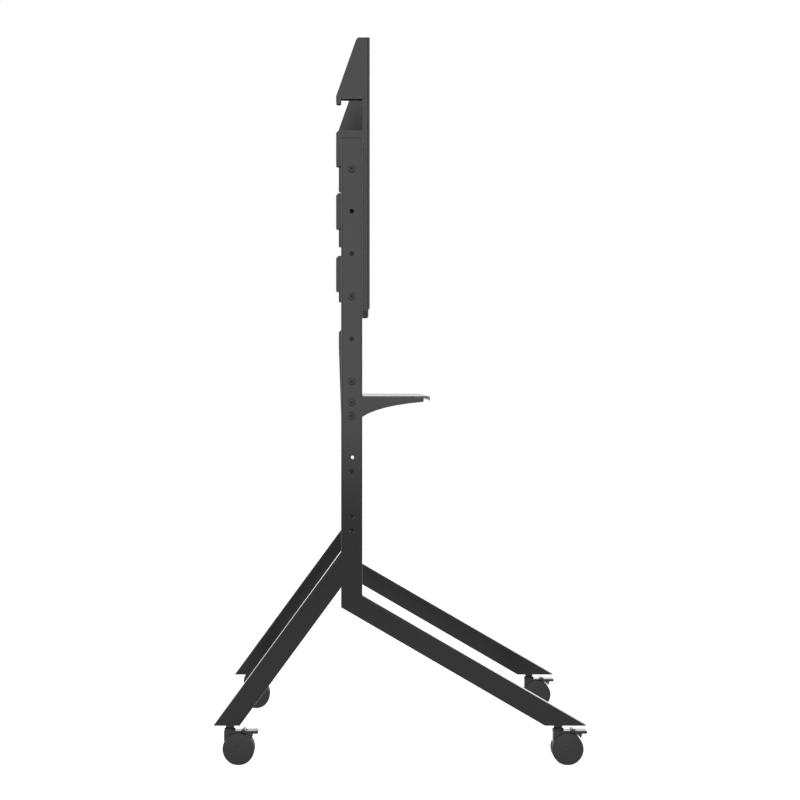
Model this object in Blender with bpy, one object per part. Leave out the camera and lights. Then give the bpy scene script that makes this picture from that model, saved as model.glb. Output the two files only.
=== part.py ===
# Wheeled stand for a large flat screen: two welded side frames on twin-wheel casters, two
# crossbars, a pair of hooked display arms, a front shelf and a rear cable trough.
# Metres, +Z up, floor at z = 0. The screen side faces -Y. The origin is under the middle
# of the cart's outline. Left is the -X side.
# Lengths along the cart are given as "forward" distances from the columns' centre.

import math

import bmesh
import bpy
from mathutils import Vector

# Fits
weld_gap = 0.0003
running_gap = 0.0001
side_play = 0.0005

# Side frames, bent up from one size of rectangular tube
tube_depth = 0.050
tube_width = 0.040
tube_wall = 0.002
tube_corner = 0.004
frame_width = 1.045
front_reach = 0.5528
rear_reach = 0.3253
front_leg_angle = math.radians(30.15)
rear_leg_angle = math.radians(53.7)
foot_plate_thickness = 0.005
foot_boss_radius = 0.010
foot_boss_height = 0.009
cap_thickness = 0.003
cap_plug_depth = 0.014
cap_edge = 0.0005

# Crossbars and the columns' row of holes
upper_crossbar_height = 1.401
column_rise = 0.071
crossbar_spacing = 0.300
holes_per_spacing = 3
hooks_per_spacing = 2
crossbar_size = 0.050
end_plate_thickness = 0.006
end_boss_radius = 0.009
end_boss_length = 0.010

# Bolts and nuts
bolt_radius = 0.005
bolt_clearance = 0.0003
bolt_head_radius = 0.009
bolt_head_height = 0.0055
bolt_head_side = 0.003
bolt_head_top_radius = 0.007
socket_across_flats = 0.006
socket_depth = 0.0033
nut_across_flats = 0.016
nut_height = 0.008
bolt_tip = 0.003

# Display arms
arm_spacing = 0.800
arm_width = 0.040
arm_sheet = 0.0025
arm_front = 0.043
arm_bend_radius = 0.0065
arm_top_rise = 0.1477
arm_bottom_drop = 0.0543
arm_top_depth = 0.028
ear_drop = 0.1405
ear_corner_run = 0.0051
ear_corner_drop = 0.006
hook_count = 4
hook_play = 0.0005
hook_lip_thickness = 0.0122
hook_lip_length = 0.0109
notch_height = 0.0748
block_chamfer = 0.006
lip_chamfer = 0.003
arm_foot_chamfer = 0.004
mount_slot_width = 0.0085
mount_slot_length = 0.055
mount_slot_pitch = 0.080
mount_slot_count = 8

# Shelf
shelf_drop = 0.0345
shelf_sheet = 0.002
shelf_reach = 0.1836
shelf_lip_depth = 0.0105
shelf_bend_radius = 0.002
bracket_plate = 0.004
bracket_reach = 0.1691
bracket_root_depth = 0.0487
bracket_tip_depth = 0.0135
bracket_tip_chamfer = 0.002
bracket_rear_margin = 0.004
bracket_belly_forward = 0.26
bracket_belly_height = 0.73
bracket_flange_width = 0.026
bracket_flange_sheet = 0.003
shelf_bolt_drop = 0.0145
shelf_bolt_spacing = 0.032
spare_shelf_drops = (0.130, 0.269)
shelf_screw_radius = 0.0023
shelf_screw_head_radius = 0.0045
shelf_screw_head_height = 0.0026
shelf_screw_inset = 0.025

# Cable trough behind the shelf
trough_sheet = 0.0015
trough_hole_index = 5
trough_top_rise = 0.1215
trough_upright_height = 0.042
trough_bottom_margin = 0.0100
trough_overhang = 0.0057
trough_front_inset = 0.005
trough_front_wall = 0.060
trough_top_chamfer = 0.005
trough_plate_shoulder = 0.015
trough_bend_radius = 0.003
trough_end_plate = 0.004
trough_end_margin = 0.0004

# Casters, measured from the axle unless the name says otherwise
wheel_radius = 0.0375
wheel_width = 0.019
wheel_inner_face = 0.010
wheel_rim = 0.005
wheel_web = 0.005
wheel_hub_radius = 0.009
wheel_shoulder = 0.0022
wheel_dish = 0.0015
wheel_draft = 0.001
axle_radius = 0.004
axle_head_radius = 0.006
axle_head_thickness = 0.0012
caster_trail = 0.021
neck_radius = 0.01325
neck_rise = 0.0102
neck_chamfer = 0.0015
collar_rise = 0.0018
web_width = 0.0174
web_cover_radius = 0.036
web_boss_radius = 0.013
web_heel_height = 0.004
web_rear_inset = 0.00015
web_cover_from = -12
web_cover_to = 60
web_boss_from = 235
web_boss_to = 305
hood_rise = 0.0048
hood_width = 0.040
hood_clearance = 0.001
hood_front_margin = 0.006
stem_pin_radius = 0.0055
stem_pin_length = 0.040
stem_flange_radius = 0.0100
stem_flange_height = 0.006
stem_thread_radius = 0.006
stem_thread_margin = 0.001
stem_bore_margin = 0.002
pedal_pivot_forward = 0.012
pedal_pivot_rise = 0.0045
pedal_eye_radius = 0.005
pedal_ear_radius = 0.0053
pedal_ear_foot = 0.001
pedal_width = 0.044
pedal_reach = 0.046
pedal_top_rise = 0.005
pedal_thickness = 0.0068
pedal_shoe_gap = 0.003
pedal_shoe_to = 38
pedal_slot_length = 0.0085
pedal_shoe_step = 0.0022
pedal_eye_step = 0.00125
pedal_edge = 0.001
pedal_eye_from = 55
pedal_eye_to = 285
pedal_shoe_from = 70
pedal_pin_radius = 0.002
pin_recess = 0.002
front_stem_setback = 0.0664
rear_stem_setback = 0.0382

# Facets
corner_steps = 2
bend_steps = 3
slot_steps = 3
bracket_curve_steps = 6
hood_steps = 6
hole_segments = 8
screw_segments = 8
fastener_segments = 12
wheel_segments = 20
neck_segments = 16
sharp_edge = math.radians(35)
cutter_overrun = 0.010

# Worked out from the sizes above
half_depth = tube_depth / 2
column_x = (frame_width - tube_width) / 2
outer_face_x = frame_width / 2
inner_face_x = outer_face_x - tube_width
axle_height = wheel_radius
neck_top = axle_height + wheel_radius + neck_rise
leg_bottom = neck_top + weld_gap + stem_flange_height + weld_gap
hole_pitch = crossbar_spacing / holes_per_spacing
hook_pitch = crossbar_spacing / hooks_per_spacing
lower_crossbar_height = upper_crossbar_height - crossbar_spacing
column_top = upper_crossbar_height + column_rise
trough_bolt_height = upper_crossbar_height - trough_hole_index * hole_pitch
shelf_height = trough_bolt_height - shelf_drop
shelf_bolt_height = shelf_height - shelf_bolt_drop
bolt_hole_radius = (bolt_radius + bolt_clearance) / math.cos(math.pi / hole_segments)
front_stem = front_reach - front_stem_setback
rear_stem = -(rear_reach - rear_stem_setback)
front_most = max(front_reach, front_stem + caster_trail + pedal_reach)
rear_most = max(rear_reach, wheel_radius - caster_trail - rear_stem)
middle_forward = (front_most - rear_most) / 2
sides = (("left", -1), ("right", 1))


# Basic tools

def clear_scene():
    for thing in list(bpy.data.objects):
        bpy.data.objects.remove(thing, do_unlink=True)


def local(across, forward, height):
    return Vector((across, -forward, height))


def world(across, forward, height):
    return Vector((across, middle_forward - forward, height))


def make_material(name, colour, roughness, metallic):
    material = bpy.data.materials.new(name)
    material.use_nodes = True
    shader = material.node_tree.nodes["Principled BSDF"]
    shader.inputs["Base Color"].default_value = (*colour, 1.0)
    shader.inputs["Roughness"].default_value = roughness
    shader.inputs["Metallic"].default_value = metallic
    material.diffuse_color = (*colour, 1.0)
    return material


def own_material(piece, finish):
    colour, roughness, metallic = finish
    return make_material(piece + "_finish", colour, roughness, metallic)


powder_coat = ((0.050, 0.050, 0.052), 0.55, 0.0)
cap_plastic = ((0.030, 0.030, 0.031), 0.60, 0.0)
caster_plastic = ((0.040, 0.040, 0.042), 0.45, 0.0)
tread_plastic = ((0.052, 0.052, 0.054), 0.50, 0.0)
black_zinc = ((0.035, 0.035, 0.037), 0.40, 0.6)


def add_object(name, mesh, finish, location=Vector((0, 0, 0)), turn=(0, 0, 0)):
    thing = bpy.data.objects.new(name, mesh)
    thing.location = location
    thing.rotation_euler = turn
    bpy.context.scene.collection.objects.link(thing)
    if not mesh.materials:
        mesh.materials.append(own_material(name, finish))
    return thing


def finish_mesh(name, shape, smooth=True):
    bmesh.ops.recalc_face_normals(shape, faces=shape.faces)
    mesh = bpy.data.meshes.new(name)
    shape.to_mesh(mesh)
    shape.free()
    if smooth:
        mesh.shade_smooth()
        mesh.set_sharp_from_angle(angle=sharp_edge)
    return mesh


def skin(shape, loops, ring):
    # Joins a row of equal loops. A ring joins its last loop to its first, like a tube's walls.
    rows = [[shape.verts.new(point) for point in loop] for loop in loops]
    pairs = list(zip(rows, rows[1:]))
    if ring:
        pairs.append((rows[-1], rows[0]))
    count = len(loops[0])
    for near, far in pairs:
        for index in range(count):
            after = (index + 1) % count
            shape.faces.new((near[index], near[after], far[after], far[index]))
    if not ring:
        shape.faces.new(rows[0])
        shape.faces.new(rows[-1])
    return shape


def skinned(name, loops, ring=False):
    return finish_mesh(name, skin(bmesh.new(), loops, ring))


def arc(centre, radius, start, end, steps):
    points = []
    for step in range(steps + 1):
        angle = math.radians(start + (end - start) * step / steps)
        points.append((centre[0] + radius * math.cos(angle), centre[1] + radius * math.sin(angle)))
    return points


def rounded_rectangle(width, height, radius):
    points = []
    corners = ((1, 1, 0), (-1, 1, 90), (-1, -1, 180), (1, -1, 270))
    for side, end, start in corners:
        centre = (side * (width / 2 - radius), end * (height / 2 - radius))
        points += arc(centre, radius, start, start + 90, corner_steps)
    return points


def circle(radius, count, first=0.0):
    turns = [math.radians(first) + math.tau * index / count for index in range(count)]
    return [(radius * math.cos(turn), radius * math.sin(turn)) for turn in turns]


def matched_circle(radius):
    # A circle whose points pair with those of a rounded rectangle
    points = []
    for quarter in range(4):
        for step in range(corner_steps + 1):
            angle = math.radians(quarter * 90 + (step + 0.5) * 90 / (corner_steps + 1))
            points.append((radius * math.cos(angle), radius * math.sin(angle)))
    return points


def hexagon(across_flats):
    return circle(across_flats / math.sqrt(3), 6)


def matched_hexagon(across_flats):
    # A hexagon with a point at each corner and side middle, to pair with a circle
    corners = [Vector(point) for point in hexagon(across_flats)]
    points = []
    for corner, after in zip(corners, corners[1:] + corners[:1]):
        points += [tuple(corner), tuple((corner + after) / 2)]
    return points


def stacked(outlines):
    # Loops at their heights along Z, from (outline, height) pairs
    return [[Vector((x, y, height)) for x, y in outline] for outline, height in outlines]


def turned_loops(profile, count):
    return stacked([(circle(radius, count), height) for radius, height in profile])


def side_outline_loops(outline, width):
    # Loops of a (forward, height) outline on the two sides of a piece that is centred across
    halves = (-width / 2, width / 2)
    return [[local(across, forward, height) for forward, height in outline] for across in halves]


def add_boolean(name, operation, bodies, target):
    # Joins bodies to the target, or cuts them from it. They are drawn around the target's origin.
    shape = bmesh.new()
    for loops, ring in bodies:
        skin(shape, loops, ring)
    tool = bpy.data.objects.new(name, finish_mesh(name, shape, smooth=False))
    tool.location = target.location
    tool.hide_render = True
    tool.display_type = "WIRE"
    bpy.context.scene.collection.objects.link(tool)
    step = target.modifiers.new(name, "BOOLEAN")
    step.operation = operation
    step.solver = "EXACT"
    step.object = tool


def add_cutter(name, bodies, target):
    add_boolean(name, "DIFFERENCE", bodies, target)


def add_joined(name, bodies, target):
    add_boolean(name, "UNION", bodies, target)


def moved(loops, shift):
    return [[point + shift for point in loop] for loop in loops]


def cross_hole(forward, height, radius, reach, segments=hole_segments):
    # A round bar along X that cuts a hole
    loops = []
    for across in (-reach, reach):
        points = circle(radius, segments, 180 / segments)
        loops.append([local(across, forward + a, height + b) for a, b in points])
    return loops


def box_loops(low, high):
    # A box between two (across, forward, height) corners
    loops = []
    for height in (low[2], high[2]):
        corners = ((low[0], low[1]), (high[0], low[1]), (high[0], high[1]), (low[0], high[1]))
        loops.append([local(across, forward, height) for across, forward in corners])
    return loops


def offset_path(points, distance):
    # The path moved sideways by a distance, with mitred corners
    moved = []
    for index, point in enumerate(points):
        before = points[max(index - 1, 0)]
        after = points[min(index + 1, len(points) - 1)]
        here = Vector(point)
        directions = []
        if index > 0:
            directions.append((here - Vector(before)).normalized())
        if index < len(points) - 1:
            directions.append((Vector(after) - here).normalized())
        normals = [Vector((-way.y, way.x)) for way in directions]
        middle = sum(normals, Vector((0, 0))).normalized()
        stretch = 1 / middle.dot(normals[0])
        moved.append(tuple(here + middle * distance * stretch))
    return moved


def rounded_path(points, radius, steps=3):
    # Rounds the inner corners of a path of (forward, height) points
    path = [points[0]]
    for before, corner, after in zip(points, points[1:], points[2:]):
        here = Vector(corner)
        back = (Vector(before) - here).normalized()
        ahead = (Vector(after) - here).normalized()
        half = back.angle(ahead) / 2
        run = radius / math.tan(half)
        start = here + back * run
        end = here + ahead * run
        for step in range(steps + 1):
            share = step / steps
            blend = start.lerp(here, share).lerp(here.lerp(end, share), share)
            path.append(tuple(blend))
    path.append(points[-1])
    return path


def bent_sheet_outline(points, radius, thickness):
    # The closed outline of a bent sheet whose middle follows the points
    path = rounded_path(points, radius)
    one_side = offset_path(path, thickness / 2)
    other_side = offset_path(path, -thickness / 2)
    return one_side + other_side[::-1]


# Side frames

def upper_edge_height(reach, angle, distance):
    # Height of a leg's upper edge at a distance from the column centre towards its tip
    return leg_bottom + (reach - distance) * math.tan(angle)


def tube_loops(sections, direction, side, through, planes):
    # Tube walls along a direction, each end cut by a plane given as (point, normal)
    loops = []
    for section, order in sections:
        for plane_point, plane_normal in (planes if order else planes[::-1]):
            loop = []
            for across, deep in section:
                start = through + Vector((across, 0, 0)) + side * deep
                travel = (plane_point - start).dot(plane_normal) / direction.dot(plane_normal)
                loop.append(start + direction * travel)
            loops.append(loop)
    return loops


def tube_sections():
    outer = rounded_rectangle(tube_width, tube_depth, tube_corner)
    inner = rounded_rectangle(
        tube_width - 2 * tube_wall, tube_depth - 2 * tube_wall, tube_corner - tube_wall
    )
    return (outer, True), (inner, False)


def mitre_plane(shift):
    # The cut between column and front leg, from the rear bottom corner up to the front face
    front_height = upper_edge_height(front_reach, front_leg_angle, half_depth)
    rear_height = front_height - tube_depth * (1 - math.sin(front_leg_angle)) / math.cos(front_leg_angle)
    along = (local(0, half_depth, front_height) - local(0, -half_depth, rear_height)).normalized()
    normal = along.cross(Vector((1, 0, 0))).normalized()
    if normal.z < 0:
        normal = -normal
    middle = local(0, 0, (front_height + rear_height) / 2)
    return middle + normal * shift, normal


def leg_line(reach, angle, heading):
    # A leg's direction down to its tip, the direction across its depth and a point on its axis
    direction = local(0, heading * math.cos(angle), -math.sin(angle))
    upward = local(0, heading * math.sin(angle), math.cos(angle))
    tip = local(0, heading * reach, leg_bottom)
    return direction, upward, tip - upward * half_depth


def column_hole_heights():
    row = [upper_crossbar_height - index * hole_pitch for index in range(trough_hole_index + 1)]
    for drop in (0.0, *spare_shelf_drops):
        row.append(shelf_bolt_height - drop)
        row.append(shelf_bolt_height - drop - shelf_bolt_spacing)
    return row


def make_columns():
    top = (local(0, 0, column_top), Vector((0, 0, 1)))
    loops = tube_loops(
        tube_sections(), Vector((0, 0, 1)), Vector((0, 1, 0)), Vector((0, 0, 0)),
        (mitre_plane(weld_gap / 2), top),
    )
    mesh = skinned("column_tube", loops, ring=True)
    holes = [
        (cross_hole(0, height, bolt_hole_radius, tube_width), False)
        for height in column_hole_heights()
    ]
    for side, sign in sides:
        column = add_object(side + "_column", mesh, powder_coat, world(sign * column_x, 0, 0))
        add_cutter(side + "_column_drill", holes, column)


def make_front_legs():
    direction, upward, through = leg_line(front_reach, front_leg_angle, 1)
    floor_cut = (local(0, 0, leg_bottom), Vector((0, 0, 1)))
    loops = tube_loops(
        tube_sections(), direction, upward, through, (mitre_plane(-weld_gap / 2), floor_cut)
    )
    mesh = skinned("front_leg_tube", loops, ring=True)
    for side, sign in sides:
        add_object(side + "_front_leg", mesh, powder_coat, world(sign * column_x, 0, 0))


def make_rear_legs():
    direction, upward, through = leg_line(rear_reach, rear_leg_angle, -1)
    column_cut = (local(0, -half_depth - weld_gap, 0), Vector((0, 1, 0)))
    floor_cut = (local(0, 0, leg_bottom), Vector((0, 0, 1)))
    loops = tube_loops(tube_sections(), direction, upward, through, (column_cut, floor_cut))
    mesh = skinned("rear_leg_tube", loops, ring=True)
    for side, sign in sides:
        add_object(side + "_rear_leg", mesh, powder_coat, world(sign * column_x, 0, 0))


def make_foot_plates():
    # A plate in each leg's mouth, with a threaded boss for the caster's stem
    inner = rounded_rectangle(
        tube_width - 2 * (tube_wall + weld_gap),
        tube_depth - 2 * (tube_wall + weld_gap),
        tube_corner - tube_wall,
    )
    legs = (
        ("front", front_reach, front_leg_angle, 1, front_stem),
        ("rear", rear_reach, rear_leg_angle, -1, rear_stem),
    )
    plate_top = leg_bottom + foot_plate_thickness
    for end, reach, angle, heading, stem in legs:
        direction, upward, through = leg_line(reach, angle, heading)
        planes = tuple((local(0, 0, height), Vector((0, 0, 1))) for height in (leg_bottom, plate_top))
        outline = tube_loops(((inner, True),), direction, upward, through, planes)
        if heading > 0:
            outline = [loop[::-1] for loop in outline]
        boss_top = plate_top + foot_boss_height

        def ring_at(radius, height):
            points = matched_circle(radius)
            return [local(x, stem + heading * y, height) for x, y in points]

        loops = [
            ring_at(stem_thread_radius + weld_gap, leg_bottom),
            *[sorted_like(loop, ring_at(foot_boss_radius, leg_bottom)) for loop in outline],
            ring_at(foot_boss_radius, plate_top),
            ring_at(foot_boss_radius, boss_top),
            ring_at(stem_thread_radius + weld_gap, boss_top),
        ]
        mesh = skinned(end + "_foot_plate", loops, ring=True)
        for side, sign in sides:
            place = world(sign * column_x, 0, 0)
            add_object(f"{side}_{end}_foot_plate", mesh, powder_coat, place)


def sorted_like(loop, pattern):
    # Starts a loop at the point that best faces the pattern's first point, in the same sense
    centre = sum(loop, Vector((0, 0, 0))) / len(loop)
    pattern_centre = sum(pattern, Vector((0, 0, 0))) / len(pattern)

    def misfit(candidate):
        total = 0.0
        for point, other in zip(candidate, pattern):
            total += (point - centre).normalized().dot((other - pattern_centre).normalized())
        return -total

    turns = []
    for sense in (loop, loop[::-1]):
        for start in range(len(loop)):
            turns.append(sense[start:] + sense[:start])
    return min(turns, key=misfit)


def make_column_caps():
    plate = rounded_rectangle(tube_width, tube_depth, tube_corner)
    inset = tube_wall + weld_gap
    plug = rounded_rectangle(tube_width - 2 * inset, tube_depth - 2 * inset, tube_corner - tube_wall)
    top_edge = rounded_rectangle(
        tube_width - 2 * cap_edge, tube_depth - 2 * cap_edge, tube_corner - cap_edge
    )
    loops = stacked([
        (plug, -cap_plug_depth),
        (plug, 0.0),
        (plate, 0.0),
        (plate, cap_thickness - cap_edge),
        (top_edge, cap_thickness),
    ])
    mesh = skinned("cap", loops)
    for side, sign in sides:
        place = world(sign * column_x, 0, column_top + weld_gap)
        add_object(side + "_column_cap", mesh, cap_plastic, place)


# Crossbars

def make_crossbars():
    # A tube with a plate welded in each end. The plate's boss takes the bolt.
    outer = rounded_rectangle(crossbar_size, crossbar_size, tube_corner)
    hollow = crossbar_size - 2 * tube_wall
    inner = rounded_rectangle(hollow, hollow, tube_corner - tube_wall)
    thread = matched_circle(bolt_hole_radius)
    boss = matched_circle(end_boss_radius)
    end = inner_face_x - weld_gap
    plate_back = end - end_plate_thickness
    boss_back = plate_back - end_boss_length
    loops = stacked([
        (outer, -end), (outer, end), (thread, end), (thread, boss_back), (boss, boss_back),
        (boss, plate_back), (inner, plate_back), (inner, -plate_back), (boss, -plate_back),
        (boss, -boss_back), (thread, -boss_back), (thread, -end),
    ])
    mesh = skinned("crossbar", loops, ring=True)
    lay_along = (0, math.radians(90), 0)
    for name, height in (("upper", upper_crossbar_height), ("lower", lower_crossbar_height)):
        add_object(name + "_crossbar", mesh, powder_coat, world(0, 0, height), lay_along)


# Bolts and weld nuts

def bolt_loops(length):
    # Button head above z = 0, shank below it
    shank = circle(bolt_radius, fastener_segments)
    head = circle(bolt_head_radius, fastener_segments)
    head_top = circle(bolt_head_top_radius, fastener_segments)
    socket = matched_hexagon(socket_across_flats)
    return stacked([
        (shank, -length),
        (shank, 0.0),
        (head, 0.0),
        (head, bolt_head_side),
        (head_top, bolt_head_height),
        (socket, bolt_head_height),
        (socket, bolt_head_height - socket_depth),
    ])


def weld_nut_loops(sign, face, height):
    # A hexagon bar on the inner side of a trough end plate, sunk a little into the plate
    loops = []
    for across in (face + trough_end_plate / 4, face - nut_height):
        points = hexagon(nut_across_flats)
        loops.append([local(sign * across, a, height + b) for a, b in points])
    return loops


def make_frame_bolts():
    crossbar_length = weld_gap + tube_width + weld_gap + end_plate_thickness + end_boss_length
    trough_length = weld_gap + tube_width + weld_gap + trough_end_plate + nut_height
    shelf_length = bracket_plate + weld_gap + trough_length
    bracket_face_x = outer_face_x + weld_gap + bracket_plate
    kinds = (
        ("upper_crossbar", outer_face_x, upper_crossbar_height, crossbar_length - bolt_tip),
        ("lower_crossbar", outer_face_x, lower_crossbar_height, crossbar_length - bolt_tip),
        ("trough", outer_face_x, trough_bolt_height, trough_length + bolt_tip),
        ("upper_shelf", bracket_face_x, shelf_bolt_height, shelf_length + bolt_tip),
        ("lower_shelf", bracket_face_x, shelf_bolt_height - shelf_bolt_spacing,
         shelf_length + bolt_tip),
    )
    for kind, face_x, height, length in kinds:
        mesh = skinned(kind + "_bolt", bolt_loops(length))
        for side, sign in sides:
            place = world(sign * (face_x + weld_gap), 0, height)
            turn = (0, sign * math.radians(90), 0)
            add_object(f"{side}_{kind}_bolt", mesh, black_zinc, place, turn)


# Display arms

def mouth_height(index):
    # The second hook from the top sits on the upper crossbar
    return upper_crossbar_height + crossbar_size / 2 + weld_gap + (1 - index) * hook_pitch


def arm_outline():
    bar_half = crossbar_size / 2
    mouth_front = bar_half + hook_play
    lip_front = -bar_half - side_play
    rear = lip_front - hook_lip_thickness
    top = mouth_height(0) + arm_top_rise
    bottom = mouth_height(hook_count - 1) - arm_bottom_drop
    ear_top = arm_front - arm_top_depth
    ear_foot = top - ear_drop
    points = [(arm_front, bottom + arm_foot_chamfer), (arm_front, top)]
    points += [(ear_top, top), (ear_top - ear_corner_run, top - ear_corner_drop), (rear, ear_foot)]
    for index in range(hook_count):
        mouth = mouth_height(index)
        lip = mouth - hook_lip_length
        points += [
            (rear, lip + lip_chamfer),
            (rear + lip_chamfer, lip),
            (lip_front - lip_chamfer, lip),
            (lip_front, lip + lip_chamfer),
            (lip_front, mouth),
            (mouth_front, mouth),
        ]
        if index < hook_count - 1:
            block_top = mouth - notch_height
            points += [
                (mouth_front, block_top),
                (rear + block_chamfer, block_top),
                (rear, block_top - block_chamfer),
            ]
    points += [(mouth_front, bottom), (arm_front - arm_foot_chamfer, bottom)]
    return points


def slot_loops(width, length, height, front, back):
    # A round-ended upright slot that cuts through the arm's front face
    half_run = (length - width) / 2
    ends = arc((0, half_run), width / 2, 0, 180, slot_steps)
    ends += arc((0, -half_run), width / 2, 180, 360, slot_steps)
    return [[local(x, forward, height + z) for x, z in ends] for forward in (back, front)]


def make_display_arms():
    outline = arm_outline()
    shape = bmesh.new()
    skin(shape, side_outline_loops(outline, arm_width), False)
    bmesh.ops.recalc_face_normals(shape, faces=shape.faces)
    front_edges = [
        edge for edge in shape.edges
        if all(abs(vert.co.y + arm_front) < 1e-6 for vert in edge.verts)
        and abs(edge.verts[0].co.x - edge.verts[1].co.x) < 1e-6
    ]
    bmesh.ops.bevel(
        shape, geom=front_edges, offset=arm_bend_radius, offset_type="OFFSET",
        segments=bend_steps, profile=0.5, affect="EDGES", material=-1,
    )
    mesh = finish_mesh("display_arm", shape)

    top = mouth_height(0) + arm_top_rise
    bottom = mouth_height(hook_count - 1) - arm_bottom_drop
    inside = arm_width / 2 - arm_sheet
    inner_bend = arm_bend_radius - arm_sheet
    channel_front = arm_front - arm_sheet
    front_round = arc((inside - inner_bend, channel_front - inner_bend), inner_bend, 0, 90, bend_steps)
    mirrored = [(-x, forward) for x, forward in front_round[::-1]]
    back = -crossbar_size
    section = front_round + mirrored + [(-inside, back), (inside, back)]
    channel = [
        [local(x, forward, height) for x, forward in section]
        for height in (bottom - cutter_overrun, top + cutter_overrun)
    ]
    middle = (top + bottom) / 2
    slots = []
    for index in range(mount_slot_count):
        height = middle + (index - (mount_slot_count - 1) / 2) * mount_slot_pitch
        reach = (arm_front + cutter_overrun, channel_front - cutter_overrun)
        slots.append((slot_loops(mount_slot_width, mount_slot_length, height, *reach), False))

    for side, sign in sides:
        place = world(sign * arm_spacing / 2, 0, 0)
        arm = add_object(side + "_display_arm", mesh, powder_coat, place)
        add_cutter(side + "_arm_channel", [(channel, False)], arm)
        add_cutter(side + "_arm_slots", slots, arm)


# Shelf

def bracket_outline():
    root = half_depth
    top = shelf_height - shelf_sheet - weld_gap
    root_bottom = shelf_height - bracket_root_depth
    tip_bottom = shelf_height - bracket_tip_depth
    lower_tip = bracket_reach - bracket_tip_chamfer
    run = lower_tip - root
    belly = (root + bracket_belly_forward * run,
             root_bottom + bracket_belly_height * (tip_bottom - root_bottom))
    curve = []
    for step in range(bracket_curve_steps + 1):
        share = step / bracket_curve_steps
        start = Vector((root, root_bottom)).lerp(Vector(belly), share)
        end = Vector(belly).lerp(Vector((lower_tip, tip_bottom)), share)
        curve.append(tuple(start.lerp(end, share)))
    rear = -half_depth + bracket_rear_margin
    return [
        (rear, root_bottom + bracket_rear_margin),
        (rear + bracket_rear_margin, root_bottom),
        *curve,
        (bracket_reach, tip_bottom + bracket_tip_chamfer),
        (bracket_reach, top),
        (rear, top),
    ]


def screw_hole(across, forward):
    radius = shelf_screw_radius + weld_gap
    low = shelf_height - shelf_sheet - bracket_flange_sheet - cutter_overrun
    loops = turned_loops([(radius, low), (radius, shelf_height + cutter_overrun)], screw_segments)
    return moved(loops, local(across, forward, 0)), False


def make_shelf_brackets():
    # Side plate on the column's outer face, with a flange that carries the shelf
    outline = bracket_outline()
    plate_middle = outer_face_x + weld_gap + bracket_plate / 2
    flange_top = shelf_height - shelf_sheet - weld_gap
    flange_bottom = flange_top - bracket_flange_sheet
    plate_loops = side_outline_loops(outline, bracket_plate)
    for side, sign in sides:
        mesh = skinned(side + "_bracket_plate", plate_loops)
        place = world(sign * plate_middle, 0, 0)
        bracket = add_object(side + "_shelf_bracket", mesh, powder_coat, place)
        inner_edge = -sign * (bracket_plate / 2 + bracket_flange_width)
        low = (min(inner_edge, 0.0), half_depth + weld_gap, flange_bottom)
        high = (max(inner_edge, 0.0), bracket_reach, flange_top)
        add_joined(side + "_bracket_flange", [(box_loops(low, high), False)], bracket)
        drills = [
            (cross_hole(0, shelf_bolt_height - drop, bolt_hole_radius, 2 * bracket_plate), False)
            for drop in (0.0, shelf_bolt_spacing)
        ]
        screw_middle = sign * (screw_across() - plate_middle)
        drills += [screw_hole(screw_middle, forward) for forward in screw_places()]
        add_cutter(side + "_bracket_drill", drills, bracket)


def screw_places():
    return half_depth + shelf_screw_inset, bracket_reach - shelf_screw_inset


def screw_across():
    return outer_face_x + weld_gap - bracket_flange_width / 2


def make_shelf():
    middle = shelf_height - shelf_sheet / 2
    front = shelf_reach - shelf_sheet / 2
    path = [
        (half_depth + weld_gap, middle),
        (front, middle),
        (front, shelf_height - shelf_lip_depth),
    ]
    outline = bent_sheet_outline(path, shelf_bend_radius, shelf_sheet)
    width = 2 * (outer_face_x + weld_gap + bracket_plate)
    mesh = skinned("shelf_sheet", side_outline_loops(outline, width))
    shelf = add_object("shelf", mesh, powder_coat, world(0, 0, 0))
    places = [(sign * screw_across(), forward) for sign in (-1, 1) for forward in screw_places()]
    add_cutter("shelf_drill", [screw_hole(*place) for place in places], shelf)

    head_top = shelf_height - shelf_sheet - weld_gap - bracket_flange_sheet - weld_gap
    screw = skinned("shelf_screw", turned_loops([
        (shelf_screw_head_radius, -shelf_screw_head_height),
        (shelf_screw_head_radius, 0.0),
        (shelf_screw_radius, 0.0),
        (shelf_screw_radius, shelf_height - weld_gap - head_top),
    ], screw_segments))
    for side, sign in sides:
        for end, forward in zip(("rear", "front"), screw_places()):
            place = world(sign * screw_across(), forward, head_top)
            add_object(f"{side}_{end}_shelf_screw", screw, black_zinc, place)


# Cable trough

def trough_corners():
    # The corners of the trough's end view, from the front top round to the rear top
    bottom = shelf_bolt_height - shelf_bolt_spacing - trough_bottom_margin
    top = trough_bolt_height + trough_top_rise
    front = half_depth - trough_front_inset
    rear = -half_depth - trough_overhang
    return [
        (front, bottom + trough_front_wall),
        (front, bottom),
        (-half_depth, bottom),
        (rear, top - trough_upright_height),
        (rear, top),
    ]


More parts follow.
